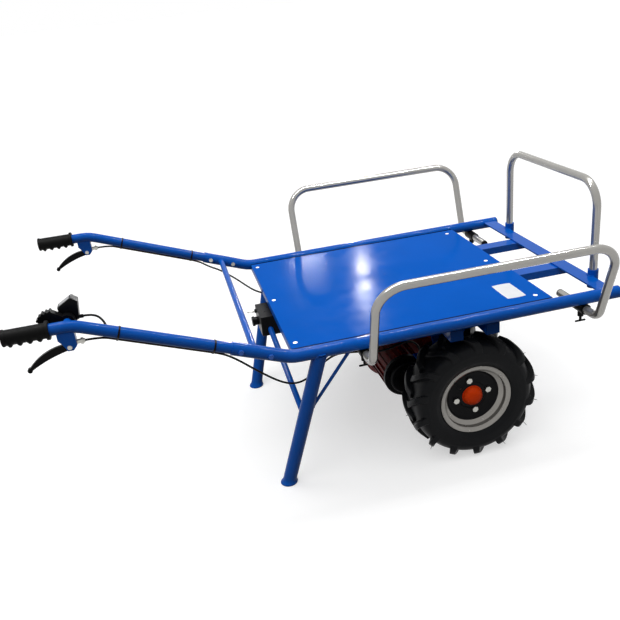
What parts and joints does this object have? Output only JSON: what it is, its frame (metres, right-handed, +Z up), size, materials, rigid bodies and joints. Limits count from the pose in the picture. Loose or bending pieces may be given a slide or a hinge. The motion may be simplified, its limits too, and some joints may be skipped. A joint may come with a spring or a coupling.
{
  "type": "electric wheelbarrow",
  "caption": "Flat-bed powered barrow with a steel deck on round rails, wheels under the bed driven by a motor, leaning legs, tube guards, brake levers and a thumb throttle.",
  "frame": {"origin": "middle of the bounding box on the ground that the wheels and legs stand on", "axes": "+X forward from the grips to the front guard, +Y to the operator's left, +Z up"},
  "size_m": [1.7384, 1.129, 0.7885],
  "materials": {
    "blue_paint": "glossy blue enamel",
    "bright_tube": "bright zinc plate",
    "black_rubber": "matt moulded rubber",
    "black_plastic": "satin moulded",
    "cable_jacket": "smooth black jacket",
    "zinc_steel": "zinc plated",
    "screen": "dark glossy window",
    "black_paint": "satin black paint",
    "bare_aluminium": "bare extrusion",
    "black_aluminium": "black coated",
    "red_paint": "red enamel on castings",
    "tyre": "new black tread rubber",
    "silver_paint": "silver enamel",
    "hub_iron": "black painted casting",
    "orange_plastic": "glossy moulded"
  },
  "bodies": {
    "frame": {"axle_bearings": "zinc_steel", "axle_carrier": "blue_paint", "axle_tubes": "black_paint", "battery_case": "black_plastic", "bed_frame": "blue_paint", "brake_cable_left": "cable_jacket", "brake_cable_right": "cable_jacket", "brake_cable_slack_left": "cable_jacket", "brake_cable_slack_right": "cable_jacket", "brake_fittings": "zinc_steel", "brake_units": "black_paint", "cable_ties": "black_plastic", "charge_socket": "black_plastic", "controller_case": "bare_aluminium", "cross_tube": "blue_paint", "deck_plate": "blue_paint", "deck_screws": "zinc_steel", "display_screen": "screen", "front_crossbar": "blue_paint", "gear_case": "red_paint", "grip_left": "black_rubber", "grip_right": "black_rubber", "guard_sockets": "black_paint", "handle_bolts": "zinc_steel", "handle_tube_left": "blue_paint", "handle_tube_right": "blue_paint", "leg_braces": "blue_paint", "leg_left": "blue_paint", "leg_right": "blue_paint", "lever_brackets": "blue_paint", "motor": "black_paint", "rail_end_caps": "black_plastic", "rail_left": "blue_paint", "rail_right": "blue_paint", "switch_box": "black_paint", "throttle_housing": "black_plastic", "throttle_lead": "cable_jacket"},
    "wheel_left": {"tyre_left": "tyre", "rim_left": "silver_paint", "wheel_hub_left": "hub_iron", "wheel_bolts_left": "zinc_steel", "hub_cap_left": "orange_plastic"},
    "side_guard_left": {"side_guard_left": "bright_tube"},
    "brake_lever_left": {"brake_lever_left": "black_aluminium"},
    "brake_arm_left": {"brake_arm_left": "zinc_steel"},
    "clamp_screw_front_left": {"clamp_screw_front_left": "black_paint"},
    "clamp_screw_rear_left": {"clamp_screw_rear_left": "black_paint"},
    "wheel_right": {"tyre_right": "tyre", "rim_right": "silver_paint", "wheel_hub_right": "hub_iron", "wheel_bolts_right": "zinc_steel", "hub_cap_right": "orange_plastic"},
    "side_guard_right": {"side_guard_right": "bright_tube"},
    "brake_lever_right": {"brake_lever_right": "black_aluminium"},
    "brake_arm_right": {"brake_arm_right": "zinc_steel"},
    "clamp_screw_front_right": {"clamp_screw_front_right": "black_paint"},
    "clamp_screw_rear_right": {"clamp_screw_rear_right": "black_paint"},
    "front_guard": {"front_guard": "bright_tube"},
    "throttle_lever": {"throttle_lever": "black_plastic"},
    "power_switch": {"power_switch": "black_plastic"}
  },
  "joints": [
    {"name": "wheel_left_spin", "type": "hinge", "parent": "frame", "child": "wheel_left", "pos_m": [0.39275, 0.368, 0.204], "axis": [0, 1, 0], "continuous": true},
    {"name": "wheel_right_spin", "type": "hinge", "parent": "frame", "child": "wheel_right", "pos_m": [0.39275, -0.368, 0.204], "axis": [0, 1, 0], "continuous": true},
    {"name": "brake_lever_left_squeeze", "type": "hinge", "parent": "frame", "child": "brake_lever_left", "pos_m": [-0.71525, 0.4, 0.627], "axis": [0, 1, 0], "range_deg": [0, 22], "stiffness_Nm_per_rad": 1, "springref_deg": -11.46},
    {"name": "brake_arm_left_pull", "type": "hinge", "parent": "frame", "child": "brake_arm_left", "pos_m": [0.35275, 0.262, 0.24], "axis": [0, 1, 0], "range_deg": [0, 11.5]},
    {"name": "brake_lever_right_squeeze", "type": "hinge", "parent": "frame", "child": "brake_lever_right", "pos_m": [-0.71525, -0.4, 0.627], "axis": [0, 1, 0], "range_deg": [0, 22], "stiffness_Nm_per_rad": 1, "springref_deg": -11.46},
    {"name": "brake_arm_right_pull", "type": "hinge", "parent": "frame", "child": "brake_arm_right", "pos_m": [0.35275, -0.262, 0.24], "axis": [0, 1, 0], "range_deg": [0, 11.5]},
    {"name": "throttle_press", "type": "hinge", "parent": "frame", "child": "throttle_lever", "pos_m": [-0.71225, -0.36, 0.68], "axis": [0, -1, 0], "range_deg": [0, 40], "stiffness_Nm_per_rad": 0.25, "springref_deg": -20.05},
    {"name": "switch_tip", "type": "hinge", "parent": "frame", "child": "power_switch", "pos_m": [-0.19765, 0.03, 0.44], "axis": [0, 1, 0], "range_deg": [0, 18]},
    {"name": "side_guard_left_slide", "type": "slide", "parent": "frame", "child": "side_guard_left", "axis": [0, 1, 0], "range_m": [0, 0.1]},
    {"name": "side_guard_right_slide", "type": "slide", "parent": "frame", "child": "side_guard_right", "axis": [0, -1, 0], "range_m": [0, 0.1]},
    {"name": "front_guard_lift", "type": "slide", "parent": "frame", "child": "front_guard", "axis": [0, 0, 1], "range_m": [0, 0.045]},
    {"name": "clamp_screw_front_left_turn", "type": "hinge", "parent": "frame", "child": "clamp_screw_front_left", "pos_m": [0.74475, 0.384, 0.41], "axis": [0, 0, 1], "range_deg": [-180, 180]},
    {"name": "clamp_screw_front_right_turn", "type": "hinge", "parent": "frame", "child": "clamp_screw_front_right", "pos_m": [0.74475, -0.384, 0.41], "axis": [0, 0, 1], "range_deg": [-180, 180]},
    {"name": "clamp_screw_rear_left_turn", "type": "hinge", "parent": "frame", "child": "clamp_screw_rear_left", "pos_m": [0.05775, 0.384, 0.41], "axis": [0, 0, 1], "range_deg": [-180, 180]},
    {"name": "clamp_screw_rear_right_turn", "type": "hinge", "parent": "frame", "child": "clamp_screw_rear_right", "pos_m": [0.05775, -0.384, 0.41], "axis": [0, 0, 1], "range_deg": [-180, 180]}
  ],
  "couplings": [
    {"joint": "brake_arm_left_pull", "follows": "brake_lever_left_squeeze", "ratio": 0.5},
    {"joint": "brake_arm_right_pull", "follows": "brake_lever_right_squeeze", "ratio": 0.5}
  ]
}
